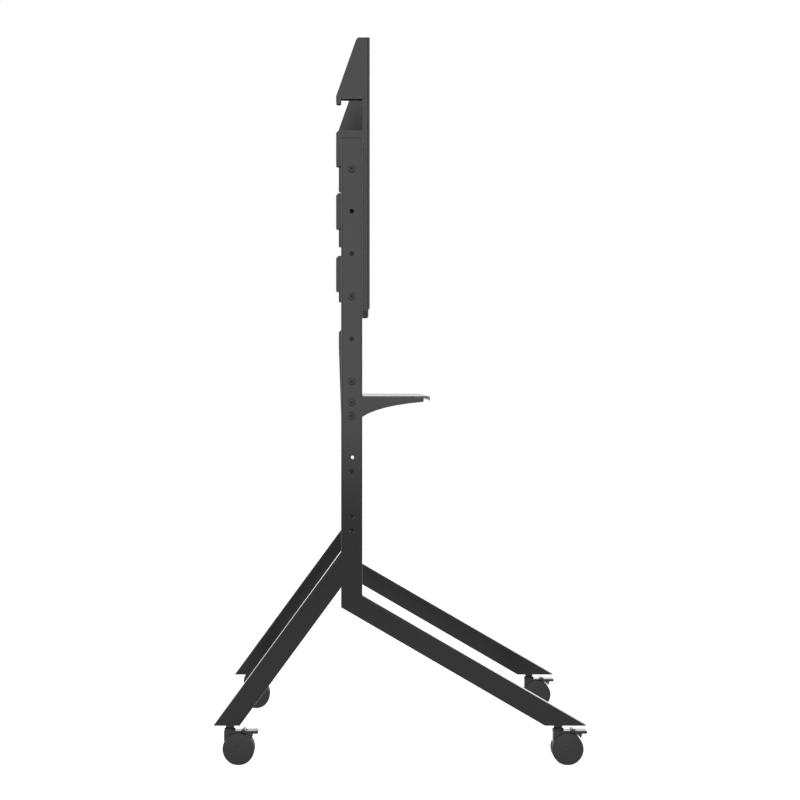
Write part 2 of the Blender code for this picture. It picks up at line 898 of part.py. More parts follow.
def make_cable_trough():
    # A bent sheet between two end plates, which are bolted to the columns
    corners = trough_corners()
    front = corners[0][0]
    rear, top = corners[-1]
    plate_face = inner_face_x - weld_gap
    plate_back = plate_face - trough_end_plate
    sheet_corners = [*corners[:-1], (rear, top - trough_top_chamfer)]
    path = offset_path(sheet_corners, -(trough_sheet / 2 + trough_end_margin))
    outline = bent_sheet_outline(path, trough_bend_radius, trough_sheet)
    sheet = side_outline_loops(outline, 2 * (plate_back - weld_gap))
    add_object("cable_trough", skinned("cable_trough", sheet), powder_coat, world(0, 0, 0))

    plate_outline = [
        *corners[1:4],
        (rear, top - trough_top_chamfer),
        (rear + trough_top_chamfer, top),
        (trough_plate_shoulder - half_depth, top),
        (front, trough_bolt_height + trough_plate_shoulder),
    ]
    plate = side_outline_loops(plate_outline, trough_end_plate)
    plate_middle = plate_face - trough_end_plate / 2
    heights = (
        trough_bolt_height, shelf_bolt_height, shelf_bolt_height - shelf_bolt_spacing,
    )
    for side, sign in sides:
        loops = moved(plate, Vector((sign * plate_middle, 0, 0)))
        mesh = skinned("trough_end_plate", loops)
        end = add_object(f"{side}_trough_end_plate", mesh, powder_coat, world(0, 0, 0))
        nuts = []
        drills = []
        for height in heights:
            nuts.append((weld_nut_loops(sign, plate_back, height), False))
            drill = cross_hole(0, height, bolt_hole_radius, nut_height + 2 * trough_end_plate)
            drills.append((moved(drill, Vector((sign * plate_face, 0, 0))), False))
        add_joined("trough_weld_nuts", nuts, end)
        add_cutter("trough_drill", drills, end)


# Casters. Each is drawn with its swivel axis at the origin and the wheels forward of it.

def axle_bore_radius(segments):
    # The facets' flats, not their corners, keep the running gap
    return (axle_radius + running_gap) / math.cos(math.pi / segments)


def wheel_mesh():
    # Cup-shaped wheel, turned about Z, with its outer face at the top
    outer_face = wheel_inner_face + wheel_width
    disc_face = outer_face - wheel_dish
    web_back = disc_face - wheel_web
    rim_inside = wheel_radius - wheel_rim
    bore = axle_bore_radius(wheel_segments)
    profile = [
        (bore, wheel_inner_face),
        (wheel_hub_radius, wheel_inner_face),
        (wheel_hub_radius + wheel_draft, web_back),
        (rim_inside - wheel_draft, web_back),
        (rim_inside, wheel_inner_face),
        (wheel_radius, wheel_inner_face),
        (wheel_radius, outer_face - wheel_shoulder),
        (wheel_radius - wheel_shoulder, outer_face),
        (rim_inside - wheel_draft, outer_face),
        (rim_inside - wheel_draft - wheel_dish, disc_face),
        (bore, disc_face),
    ]
    return skinned("caster_wheel", turned_loops(profile, wheel_segments), ring=True), disc_face


def body_outline():
    axle = (caster_trail, axle_height)
    pivot = (caster_trail + pedal_pivot_forward, axle_height + wheel_radius + pedal_pivot_rise)
    hood = axle_height + wheel_radius + hood_rise
    heel = axle_height + web_heel_height
    rear = web_rear_inset - neck_radius
    outline = [(rear, hood), (rear, heel)]
    outline += arc(axle, web_boss_radius, web_boss_from, web_boss_to, 3)
    outline += arc(axle, web_cover_radius, web_cover_from, web_cover_to, 6)
    outline += [(pivot[0] + pedal_ear_radius, axle_height + wheel_radius)]
    outline += arc(pivot, pedal_ear_radius, 0, 150, 5)
    outline += [(pivot[0] - pedal_ear_radius - pedal_ear_foot, hood)]
    return outline


def hood_outline():
    # The cover over the wheels' inner halves, with an underside that follows the treads
    axle = (caster_trail, axle_height)
    top = axle_height + wheel_radius + hood_rise
    rear = web_rear_inset - neck_radius
    front = caster_trail + pedal_pivot_forward - hood_front_margin
    reach = wheel_radius + hood_clearance
    start = math.degrees(math.acos((front - axle[0]) / reach))
    end = math.degrees(math.acos((rear - axle[0]) / reach))
    return [(rear, top), (front, top), *arc(axle, reach, start, end, hood_steps)]


def body_mesh_parts():
    web = side_outline_loops(body_outline(), web_width)
    hood = side_outline_loops(hood_outline(), hood_width)
    collar_bottom = axle_height + wheel_radius + collar_rise
    collar = turned_loops([
        (neck_radius, collar_bottom),
        (neck_radius, neck_top - neck_chamfer),
        (neck_radius - neck_chamfer, neck_top),
    ], neck_segments)
    return web, hood, collar


def pedal_outline():
    # Around its pivot, which is the pedal's own origin
    axle = (-pedal_pivot_forward, -(wheel_radius + pedal_pivot_rise))
    tip = pedal_reach - pedal_pivot_forward
    top = pedal_top_rise - pedal_pivot_rise
    underside = top - pedal_thickness
    shoe_radius = wheel_radius + pedal_shoe_gap
    points = arc((0, 0), pedal_eye_radius, pedal_eye_from, pedal_eye_to, 6)
    points += arc(axle, shoe_radius, pedal_shoe_from, pedal_shoe_to, 4)
    points += [
        (points[-1][0] + pedal_shoe_step, underside),
        (tip - pedal_edge, underside),
        (tip, underside + pedal_edge),
        (tip, top - pedal_edge),
        (tip - pedal_edge, top),
        (pedal_eye_radius + pedal_eye_step, top),
    ]
    return points


def make_casters():
    wheel, disc_face = wheel_mesh()
    web, hood, collar = body_mesh_parts()
    body_mesh = skinned("caster_body", web)
    pedal = skinned("brake_pedal", side_outline_loops(pedal_outline(), pedal_width))
    stem_bottom = neck_top - stem_pin_length
    flange_top = leg_bottom - weld_gap
    thread_top = leg_bottom + foot_plate_thickness + foot_boss_height - stem_thread_margin
    stem = skinned("caster_stem", turned_loops([
        (stem_pin_radius, stem_bottom),
        (stem_pin_radius, neck_top + weld_gap),
        (stem_flange_radius, neck_top + weld_gap),
        (stem_flange_radius, flange_top),
        (stem_thread_radius, flange_top),
        (stem_thread_radius, thread_top),
    ], neck_segments))
    head_in = disc_face + weld_gap
    head_out = head_in + axle_head_thickness
    axle = skinned("caster_axle", turned_loops([
        (axle_head_radius, -head_out),
        (axle_head_radius, -head_in),
        (axle_radius, -head_in),
        (axle_radius, head_in),
        (axle_head_radius, head_in),
        (axle_head_radius, head_out),
    ], fastener_segments))
    pedal_pin = cross_hole(0, 0, pedal_pin_radius, pedal_width / 2 - pin_recess, screw_segments)

    stem_bore = (stem_pin_radius + running_gap) / math.cos(math.pi / neck_segments)
    body_drills = [(turned_loops([
        (stem_bore, stem_bottom - stem_bore_margin), (stem_bore, neck_top + cutter_overrun),
    ], neck_segments), False)]
    cross_drills = [
        (cross_hole(caster_trail, axle_height,
                    axle_bore_radius(fastener_segments), web_width, fastener_segments), False),
        (cross_hole(caster_trail + pedal_pivot_forward,
                    axle_height + wheel_radius + pedal_pivot_rise,
                    (pedal_pin_radius + running_gap) / math.cos(math.pi / screw_segments),
                    web_width, screw_segments), False),
    ]
    slot_half = web_width / 2 + side_play
    pedal_slot = box_loops(
        (-slot_half, -pedal_reach, -pedal_reach), (slot_half, pedal_slot_length, pedal_reach)
    )
    across_turn = math.radians(90)
    for end, stem_forward in (("front", front_stem), ("rear", rear_stem)):
        for side, sign in sides:
            name = f"{side}_{end}_caster"
            x = sign * column_x
            swivel = world(x, stem_forward, 0)
            hub = world(x, stem_forward + caster_trail, axle_height)
            pivot = world(
                x, stem_forward + caster_trail + pedal_pivot_forward,
                axle_height + wheel_radius + pedal_pivot_rise,
            )
            add_object(name + "_stem", stem, black_zinc, swivel)
            body = add_object(name + "_body", body_mesh, caster_plastic, swivel)
            add_joined(name + "_hood", [(hood, False)], body)
            add_joined(name + "_collar", [(collar, False)], body)
            add_cutter(name + "_stem_bore", body_drills, body)
            add_cutter(name + "_cross_bores", cross_drills, body)
            add_object(name + "_axle", axle, black_zinc, hub, (0, across_turn, 0))
            add_object(name + "_outer_wheel", wheel, tread_plastic, hub, (0, sign * across_turn, 0))
            add_object(name + "_inner_wheel", wheel, tread_plastic, hub, (0, -sign * across_turn, 0))
            brake = add_object(name + "_brake_pedal", pedal, caster_plastic, pivot)
            add_cutter(name + "_pedal_slot", [(pedal_slot, False)], brake)
            add_joined(name + "_pedal_pin", [(pedal_pin, False)], brake)


def main():
    clear_scene()
    make_columns()
    make_front_legs()
    make_rear_legs()
    make_foot_plates()
    make_column_caps()
    make_crossbars()
    make_frame_bolts()
    make_display_arms()
    make_shelf_brackets()
    make_shelf()
    make_cable_trough()
    make_casters()


main()
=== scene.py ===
import math
import bmesh
import bpy
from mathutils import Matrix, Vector


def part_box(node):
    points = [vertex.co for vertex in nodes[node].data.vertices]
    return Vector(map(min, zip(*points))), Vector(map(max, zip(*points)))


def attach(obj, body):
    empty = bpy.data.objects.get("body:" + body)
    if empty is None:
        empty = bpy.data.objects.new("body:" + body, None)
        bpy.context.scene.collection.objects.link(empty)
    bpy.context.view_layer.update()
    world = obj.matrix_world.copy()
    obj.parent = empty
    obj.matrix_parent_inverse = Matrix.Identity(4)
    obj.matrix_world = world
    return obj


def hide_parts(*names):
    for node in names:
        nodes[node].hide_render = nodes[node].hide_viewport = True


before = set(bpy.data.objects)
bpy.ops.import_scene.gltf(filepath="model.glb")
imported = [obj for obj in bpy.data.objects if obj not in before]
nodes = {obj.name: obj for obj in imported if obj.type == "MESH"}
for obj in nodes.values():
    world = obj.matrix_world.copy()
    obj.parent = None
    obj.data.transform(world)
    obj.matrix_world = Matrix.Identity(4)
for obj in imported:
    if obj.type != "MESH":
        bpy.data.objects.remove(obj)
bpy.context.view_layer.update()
print("frame loaded with", len(nodes), "nodes")

sides = {"left": -1, "right": 1}
ends = ("front", "rear")
across = Vector((1, 0, 0))
rearward = Vector((0, 1, 0))
upright = Vector((0, 0, 1))


def addNode(tree, kind, **settings):
    node = tree.nodes.new(kind)
    for key, value in settings.items():
        if key in node.inputs:
            node.inputs[key].default_value = value
        else:
            setattr(node, key, value)
    return node


def wire(tree, source, target):
    tree.links.new(source, target)


def startGroup(name, inputs, outputs):
    group = bpy.data.node_groups.new(name, "ShaderNodeTree")
    for label, kind, value in inputs:
        socket = group.interface.new_socket(name=label, in_out="INPUT", socket_type=kind)
        if value is not None:
            socket.default_value = value
    for label, kind in outputs:
        group.interface.new_socket(name=label, in_out="OUTPUT", socket_type=kind)
    return group, group.nodes.new("NodeGroupInput"), group.nodes.new("NodeGroupOutput")


def mixColours(tree, factor, first, second):
    mix = tree.nodes.new("ShaderNodeMix")
    mix.data_type = "RGBA"
    wire(tree, factor, mix.inputs[0])
    wire(tree, first, mix.inputs[6])
    wire(tree, second, mix.inputs[7])
    return mix.outputs[2]


def mathNode(tree, operation, first, second):
    node = tree.nodes.new("ShaderNodeMath")
    node.operation = operation
    for place, value in enumerate((first, second)):
        if isinstance(value, (int, float)):
            node.inputs[place].default_value = value
        else:
            wire(tree, value, node.inputs[place])
    return node.outputs[0]


skinLook = {"drift": 0.08, "roughDrift": 0.08, "driftScale": 5.0, "driftDetail": 3.0, "grainDetail": 2.0,
            "speckle": 0.22, "relief": 0.0004}
dustLook = {"colour": (0.35, 0.34, 0.32, 1), "lowestSlope": 0.45, "cloudScale": 38.0, "cloudDetail": 5.0}
plateLook = {"lineScale": 420.0, "lineDetail": 4.0, "cloudScale": 60.0, "cloudDetail": 3.0, "darkest": 0.85,
             "cloudGain": 0.3, "roughGain": 0.18, "relief": 0.0003}


# fine pimpled skin of powder coat and moulded plastic, with a slow drift of tone
def buildCoatSkin():
    colour, number, vector = "NodeSocketColor", "NodeSocketFloat", "NodeSocketVector"
    group, given, result = startGroup(
        "coatSkin",
        [("Position", vector, None), ("Colour", colour, (0.05, 0.05, 0.05, 1)),
         ("Drift", number, skinLook["drift"]), ("Grain Scale", number, 900.0), ("Roughness", number, 0.5),
         ("Roughness Drift", number, skinLook["roughDrift"])],
        [("Colour", colour), ("Roughness", number), ("Height", number)],
    )
    slow = addNode(group, "ShaderNodeTexNoise", Scale=skinLook["driftScale"], Detail=skinLook["driftDetail"])
    fine = addNode(group, "ShaderNodeTexNoise", Detail=skinLook["grainDetail"])
    wire(group, given.outputs["Position"], slow.inputs["Vector"])
    wire(group, given.outputs["Position"], fine.inputs["Vector"])
    wire(group, given.outputs["Grain Scale"], fine.inputs["Scale"])
    centred = mathNode(group, "SUBTRACT", slow.outputs[0], 0.5)
    gain = mathNode(group, "ADD", mathNode(group, "MULTIPLY", centred, given.outputs["Drift"]), 1.0)
    speckle = mathNode(group, "SUBTRACT", fine.outputs[0], 0.5)
    speckleGain = mathNode(group, "ADD", mathNode(group, "MULTIPLY", speckle, skinLook["speckle"]), gain)
    tint = addNode(group, "ShaderNodeVectorMath", operation="SCALE")
    wire(group, given.outputs["Colour"], tint.inputs[0])
    wire(group, speckleGain, tint.inputs["Scale"])
    wire(group, tint.outputs[0], result.inputs["Colour"])
    rough = mathNode(group, "MULTIPLY", centred, given.outputs["Roughness Drift"])
    wire(group, mathNode(group, "ADD", rough, given.outputs["Roughness"]), result.inputs["Roughness"])
    wire(group, fine.outputs[0], result.inputs["Height"])
    return group


# thin dust on faces that look up
def buildSettledDust():
    colour, number, vector = "NodeSocketColor", "NodeSocketFloat", "NodeSocketVector"
    group, given, result = startGroup(
        "settledDust",
        [("Position", vector, None), ("Normal", vector, None), ("Colour", colour, (0.05, 0.05, 0.05, 1)),
         ("Dust", colour, dustLook["colour"]), ("Amount", number, 0.05)],
        [("Colour", colour)],
    )
    split = group.nodes.new("ShaderNodeSeparateXYZ")
    wire(group, given.outputs["Normal"], split.inputs[0])
    up = addNode(group, "ShaderNodeMapRange")
    up.inputs["From Min"].default_value = dustLook["lowestSlope"]
    up.inputs["From Max"].default_value = 1.0
    wire(group, split.outputs["Z"], up.inputs["Value"])
    cloud = addNode(group, "ShaderNodeTexNoise", Scale=dustLook["cloudScale"], Detail=dustLook["cloudDetail"])
    wire(group, given.outputs["Position"], cloud.inputs["Vector"])
    mask = mathNode(group, "MULTIPLY", up.outputs[0], cloud.outputs[0])
    mask = mathNode(group, "MULTIPLY", mask, given.outputs["Amount"])
    wire(group, mixColours(group, mask, given.outputs["Colour"], given.outputs["Dust"]), result.inputs["Colour"])
    return group


# drawn lines and faint clouds of plated steel
def buildPlatedMetal():
    colour, number, vector = "NodeSocketColor", "NodeSocketFloat", "NodeSocketVector"
    group, given, result = startGroup(
        "platedMetal",
        [("Position", vector, None), ("Colour", colour, (0.5, 0.5, 0.5, 1)), ("Roughness", number, 0.35)],
        [("Colour", colour), ("Roughness", number), ("Height", number)],
    )
    lines = addNode(group, "ShaderNodeTexNoise", Scale=plateLook["lineScale"], Detail=plateLook["lineDetail"])
    clouds = addNode(group, "ShaderNodeTexNoise", Scale=plateLook["cloudScale"], Detail=plateLook["cloudDetail"])
    wire(group, given.outputs["Position"], lines.inputs["Vector"])
    wire(group, given.outputs["Position"], clouds.inputs["Vector"])
    cloudGain = mathNode(group, "MULTIPLY", clouds.outputs[0], plateLook["cloudGain"])
    gain = mathNode(group, "ADD", cloudGain, plateLook["darkest"])
    tint = addNode(group, "ShaderNodeVectorMath", operation="SCALE")
    wire(group, given.outputs["Colour"], tint.inputs[0])
    wire(group, gain, tint.inputs["Scale"])
    wire(group, tint.outputs[0], result.inputs["Colour"])
    rough = mathNode(group, "MULTIPLY", lines.outputs[0], plateLook["roughGain"])
    wire(group, mathNode(group, "ADD", rough, given.outputs["Roughness"]), result.inputs["Roughness"])
    wire(group, lines.outputs[0], result.inputs["Height"])
    return group


coatSkin = buildCoatSkin()
settledDust = buildSettledDust()
platedMetal = buildPlatedMetal()

# colour of the skin, size and depth of its grain, settled dust and strength of its shine
finishes = {
    "powderCoat": {"colour": (0.0147, 0.0147, 0.0151), "roughness": 0.155, "grain": 950, "bump": 0.07,
                   "dust": 0.04, "specular": 0.22},
    "capPlastic": {"colour": (0.022, 0.022, 0.023), "roughness": 0.58, "grain": 1500, "bump": 0.06,
                   "dust": 0.05, "specular": 0.3},
    "casterPlastic": {"colour": (0.019, 0.019, 0.0196), "roughness": 0.20, "grain": 1300, "bump": 0.03,
                      "dust": 0.08, "specular": 0.3},
    "treadPlastic": {"colour": (0.027, 0.027, 0.0277), "roughness": 0.50, "grain": 1100, "bump": 0.10,
                     "dust": 0.0, "specular": 0.3},
    "discPlastic": {"colour": (0.0168, 0.0168, 0.0173), "roughness": 0.45, "grain": 1300, "bump": 0.07,
                    "dust": 0.0, "specular": 0.3},
}
metals = {
    "blackZinc": {"colour": (0.045, 0.045, 0.046), "roughness": 0.45, "bump": 0.03},
    "axleSteel": {"colour": (0.040, 0.040, 0.041), "roughness": 0.40, "bump": 0.03},
}


def coatMaterial(name, values):
    material = bpy.data.materials.new(name)
    material.use_nodes = True
    tree = material.node_tree
    shader = tree.nodes["Principled BSDF"]
    place = tree.nodes.new("ShaderNodeTexCoord")
    surface = tree.nodes.new("ShaderNodeNewGeometry")
    skin = addNode(tree, "ShaderNodeGroup", node_tree=coatSkin)
    skin.inputs["Colour"].default_value = (*values["colour"], 1)
    skin.inputs["Grain Scale"].default_value = values["grain"]
    skin.inputs["Roughness"].default_value = values["roughness"]
    wire(tree, place.outputs["Object"], skin.inputs["Position"])
    dust = addNode(tree, "ShaderNodeGroup", node_tree=settledDust)
    dust.inputs["Amount"].default_value = values["dust"]
    wire(tree, place.outputs["Object"], dust.inputs["Position"])
    wire(tree, surface.outputs["Normal"], dust.inputs["Normal"])
    wire(tree, skin.outputs["Colour"], dust.inputs["Colour"])
    shader.inputs["Specular IOR Level"].default_value = values["specular"]
    shader.distribution = "GGX"
    bump = addNode(tree, "ShaderNodeBump", Strength=values["bump"], Distance=skinLook["relief"])
    wire(tree, skin.outputs["Height"], bump.inputs["Height"])
    wire(tree, dust.outputs["Colour"], shader.inputs["Base Color"])
    wire(tree, skin.outputs["Roughness"], shader.inputs["Roughness"])
    wire(tree, bump.outputs[0], shader.inputs["Normal"])
    return material


def metalMaterial(name, values):
    material = bpy.data.materials.new(name)
    material.use_nodes = True
    tree = material.node_tree
    shader = tree.nodes["Principled BSDF"]
    shader.inputs["Metallic"].default_value = 1.0
    place = tree.nodes.new("ShaderNodeTexCoord")
    plate = addNode(tree, "ShaderNodeGroup", node_tree=platedMetal)
    plate.inputs["Colour"].default_value = (*values["colour"], 1)
    plate.inputs["Roughness"].default_value = values["roughness"]
    wire(tree, place.outputs["Object"], plate.inputs["Position"])
    bump = addNode(tree, "ShaderNodeBump", Strength=values["bump"], Distance=plateLook["relief"])
    wire(tree, plate.outputs["Height"], bump.inputs["Height"])
    wire(tree, plate.outputs["Colour"], shader.inputs["Base Color"])
    wire(tree, plate.outputs["Roughness"], shader.inputs["Roughness"])
    wire(tree, bump.outputs[0], shader.inputs["Normal"])
    return material


materials = {name: coatMaterial(name, values) for name, values in finishes.items()}
materials.update({name: metalMaterial(name, values) for name, values in metals.items()})
print("materials made:", len(materials))

sharpAngle = math.radians(32)
flatAngle = math.radians(0.3)
weldDistance = 0.00001
spinWeldDistance = 0.000005


def finishPiece(name, shape, material, body, replaced=(), bevelWidth=0.0, bevelSteps=2):
    bmesh.ops.remove_doubles(shape, verts=shape.verts, dist=weldDistance)
    bmesh.ops.recalc_face_normals(shape, faces=shape.faces)
    mesh = bpy.data.meshes.new(name)
    shape.to_mesh(mesh)
    shape.free()
    mesh.shade_smooth()
    mesh.set_sharp_from_angle(angle=sharpAngle)
    piece = bpy.data.objects.new(name, mesh)
    bpy.context.scene.collection.objects.link(piece)
    mesh.materials.append(materials[material])
    if bevelWidth > 0:
        bevel = piece.modifiers.new("edges", "BEVEL")
        bevel.width = bevelWidth
        bevel.segments = bevelSteps
        bevel.limit_method = "ANGLE"
        bevel.angle_limit = sharpAngle
    level = piece.modifiers.new("level", "WEIGHTED_NORMAL")
    level.keep_sharp = True
    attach(piece, body)
    if replaced:
        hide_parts(*replaced)
    return piece


def mergedCopy(nodeName):
    shape = bmesh.new()
    shape.from_mesh(nodes[nodeName].data)
    bmesh.ops.remove_doubles(shape, verts=shape.verts, dist=weldDistance)
    bmesh.ops.dissolve_limit(shape, angle_limit=flatAngle, verts=shape.verts, edges=shape.edges)
    return shape


def roundedSection(width, depth, radius, steps, flatSteps=0):
    # (across, deep) points of a rounded rectangle. Extra points share out the flats.
    corners = []
    for side, end, start in ((1, 1, 0), (-1, 1, 90), (-1, -1, 180), (1, -1, 270)):
        centre = Vector((side * (width / 2 - radius), end * (depth / 2 - radius)))
        turns = [math.radians(start + 90 * step / steps) for step in range(steps + 1)]
        corners.append([centre + radius * Vector((math.cos(turn), math.sin(turn))) for turn in turns])
    points = []
    for corner, after in zip(corners, corners[1:] + corners[:1]):
        points += corner
        for step in range(flatSteps):
            points.append(corner[-1].lerp(after[0], (step + 1) / (flatSteps + 1)))
    return points


def likeCircle(outline, radius):
    # a circle whose points lie in the same directions as those of an outline
    return [point.normalized() * radius for point in outline]


def stackedShape(loops, closed=False):
    # skins equal loops of points. A closed stack joins its last loop to its first.
    shape = bmesh.new()
    rows = [[shape.verts.new(point) for point in loop] for loop in loops]
    pairs = list(zip(rows, rows[1:]))
    if closed:
        pairs.append((rows[-1], rows[0]))
    for near, far in pairs:
        joinRings(shape, near, far)
    if not closed:
        shape.faces.new(rows[0])
        shape.faces.new(rows[-1])
    return shape


def joinRings(shape, near, far):
    for index in range(len(near)):
        after = (index + 1) % len(near)
        shape.faces.new((near[index], near[after], far[after], far[index]))


def fullTurn(steps):
    return [math.tau * step / steps for step in range(steps)]


def turned(profile, base, axis, steps):
    # a solid turned about an axis from (radius, distance along the axis) pairs
    side = axis.orthogonal().normalized()
    other = axis.cross(side)
    spokes = [side * math.cos(turn) + other * math.sin(turn) for turn in fullTurn(steps)]
    return stackedShape([[base + axis * along + radius * spoke for spoke in spokes] for radius, along in profile])


def quarterRound(centre, radius, start, end, steps):
    turns = [math.radians(start + (end - start) * step / steps) for step in range(steps + 1)]
    return [(centre[0] + radius * math.cos(turn), centre[1] + radius * math.sin(turn)) for turn in turns]


def seamPanel(shape, plus, minus, seam, openings):
    # A flat panel made of two faces that meet on a seam through its openings. Each opening is a ring that
    # starts at its lowest point, runs up the plus side and has its highest point half way round.
    plusLoop = [seam[0], plus[0], plus[1], seam[1]]
    for ring in reversed(openings):
        plusLoop += ring[len(ring) // 2::-1]
    shape.faces.new(plusLoop)
    minusLoop = [seam[1], minus[1], minus[0], seam[0]]
    for ring in openings:
        minusLoop += [ring[0], *ring[:len(ring) // 2 - 1:-1]]
    shape.faces.new(minusLoop)


def spun(profile, centre, axis, outward, steps):
    # a closed profile of (radius, distance along the axis), turned a full circle about the axis
    shape = bmesh.new()
    corners = [shape.verts.new(centre + outward * radius + axis * along) for radius, along in profile]
    for corner, after in zip(corners, corners[1:] + corners[:1]):
        shape.edges.new((corner, after))
    bmesh.ops.spin(shape, geom=shape.verts[:] + shape.edges[:], cent=centre, axis=axis, dvec=(0, 0, 0),
                   angle=math.tau, steps=steps, use_merge=True)
    bmesh.ops.remove_doubles(shape, verts=shape.verts, dist=spinWeldDistance)
    return shape


view = {"place": (-6.34, 0.0976, 0.909), "turn": (90, 0, -90), "lens": 111.4, "shiftX": 0.0516,
        "shiftY": -0.0274, "farEnd": 200}
lamps = {
    "overhead": {"place": (-0.4, 0.2, 4.0), "aim": (0, 0, 0.9), "size": (2.4, 2.4), "power": 60},
    "cameraSide": {"place": (-4.0, 0.1, 1.52), "aim": (-0.5, 0.1, 1.52), "size": (2.4, 1.86), "power": 41},
    "farSide": {"place": (5.0, -0.1, 0.575), "aim": (0, -0.1, 0.575), "size": (4.0, 0.63), "power": 9},
    "frontSide": {"place": (-0.6, -4.0, 1.52), "aim": (-0.6, 0, 1.52), "size": (4.4, 1.86), "power": 70},
    "rearSide": {"place": (-0.6, 4.2, 1.52), "aim": (-0.6, 0, 1.52), "size": (4.4, 1.86), "power": 70},
}
floorLook = {"colour": 0.55, "cameraGlow": 0.78, "size": 60, "mottle": 0.02, "mottleScale": 3.0,
             "mottleDetail": 2.0, "roughness": 0.9, "specular": 0.1}
sky = {"seen": 1.0, "light": 0.42}


def addCamera():
    data = bpy.data.cameras.new("photoCamera")
    data.lens = view["lens"]
    data.shift_x = view["shiftX"]
    data.shift_y = view["shiftY"]
    data.clip_end = view["farEnd"]
    camera = bpy.data.objects.new("photoCamera", data)
    camera.location = view["place"]
    camera.rotation_euler = [math.radians(turn) for turn in view["turn"]]
    bpy.context.scene.collection.objects.link(camera)
    bpy.context.scene.camera = camera


def addLamps():
    for name, values in lamps.items():
        data = bpy.data.lights.new(name, "AREA")
        data.energy = values["power"]
        data.shape = "RECTANGLE"
        data.size, data.size_y = values["size"]
        lamp = bpy.data.objects.new(name, data)
        lamp.location = values["place"]
        aim = Vector(values["aim"]) - Vector(values["place"])
        lamp.rotation_euler = aim.to_track_quat("-Z", "Y").to_euler()
        lamp.visible_camera = False
        bpy.context.scene.collection.objects.link(lamp)


def seenRays(tree):
    # 1 for the rays that show the backdrop itself, straight on, mirrored or through something clear
    path = tree.nodes.new("ShaderNodeLightPath")
    seen = mathNode(tree, "MAXIMUM", path.outputs["Is Camera Ray"], path.outputs["Is Transmission Ray"])
    return mathNode(tree, "MAXIMUM", seen, path.outputs["Is Glossy Ray"])


def addSky():
    world = bpy.data.worlds.new("studioSky")
    bpy.context.scene.world = world
    world.use_nodes = True
    tree = world.node_tree
    background = tree.nodes["Background"]
    background.inputs["Color"].default_value = (1, 1, 1, 1)
    gain = mathNode(tree, "MULTIPLY", seenRays(tree), sky["seen"] - sky["light"])
    wire(tree, mathNode(tree, "ADD", gain, sky["light"]), background.inputs["Strength"])


def addFloor():
    shape = bmesh.new()
    bmesh.ops.create_grid(shape, x_segments=1, y_segments=1, size=floorLook["size"] / 2)
    mesh = bpy.data.meshes.new("studioFloor")
    shape.to_mesh(mesh)
    shape.free()
    floor = bpy.data.objects.new("studioFloor", mesh)
    bpy.context.scene.collection.objects.link(floor)
    material = bpy.data.materials.new("studioFloor")
    material.use_nodes = True
    tree = material.node_tree
    shader = tree.nodes["Principled BSDF"]
    place = tree.nodes.new("ShaderNodeTexCoord")
    mottle = addNode(tree, "ShaderNodeTexNoise", Scale=floorLook["mottleScale"], Detail=floorLook["mottleDetail"])
    wire(tree, place.outputs["Object"], mottle.inputs["Vector"])
    drift = mathNode(tree, "MULTIPLY", mottle.outputs[0], floorLook["mottle"])
    gain = mathNode(tree, "ADD", drift, floorLook["colour"])
    tone = tree.nodes.new("ShaderNodeCombineColor")
    for channel in range(3):
        wire(tree, gain, tone.inputs[channel])
    wire(tree, tone.outputs[0], shader.inputs["Base Color"])
    shader.inputs["Roughness"].default_value = floorLook["roughness"]
    shader.inputs["Specular IOR Level"].default_value = floorLook["specular"]
    shader.inputs["Emission Color"].default_value = (1, 1, 1, 1)
    glow = mathNode(tree, "MULTIPLY", seenRays(tree), floorLook["cameraGlow"])
    wire(tree, glow, shader.inputs["Emission Strength"])
    mesh.materials.append(material)


bpy.context.scene.view_settings.view_transform = "Standard"
addCamera()
addLamps()
addSky()
addFloor()
print("camera, lamps and floor placed")


tube = {
    "width": 0.040, "depth": 0.050, "wall": 0.002, "corner": 0.004, "cornerSteps": 6, "gap": 0.0003,
    "frontAngle": 30.15, "rearAngle": 53.7, "holeRadius": 0.0054, "holeSteps": 32, "holeEdge": 0.0004,
    "edgeSteps": 2, "weldSteps": 8, "holePitch": 0.1, "holeCount": 6, "shelfDrops": (0, 0.130, 0.269),
}
columnLow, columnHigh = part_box("left_column")
columnMiddle = (columnLow.y + columnHigh.y) / 2
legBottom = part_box("left_front_leg")[0].z


def planeAt(height):
    return Vector((0, columnMiddle, height)), upright


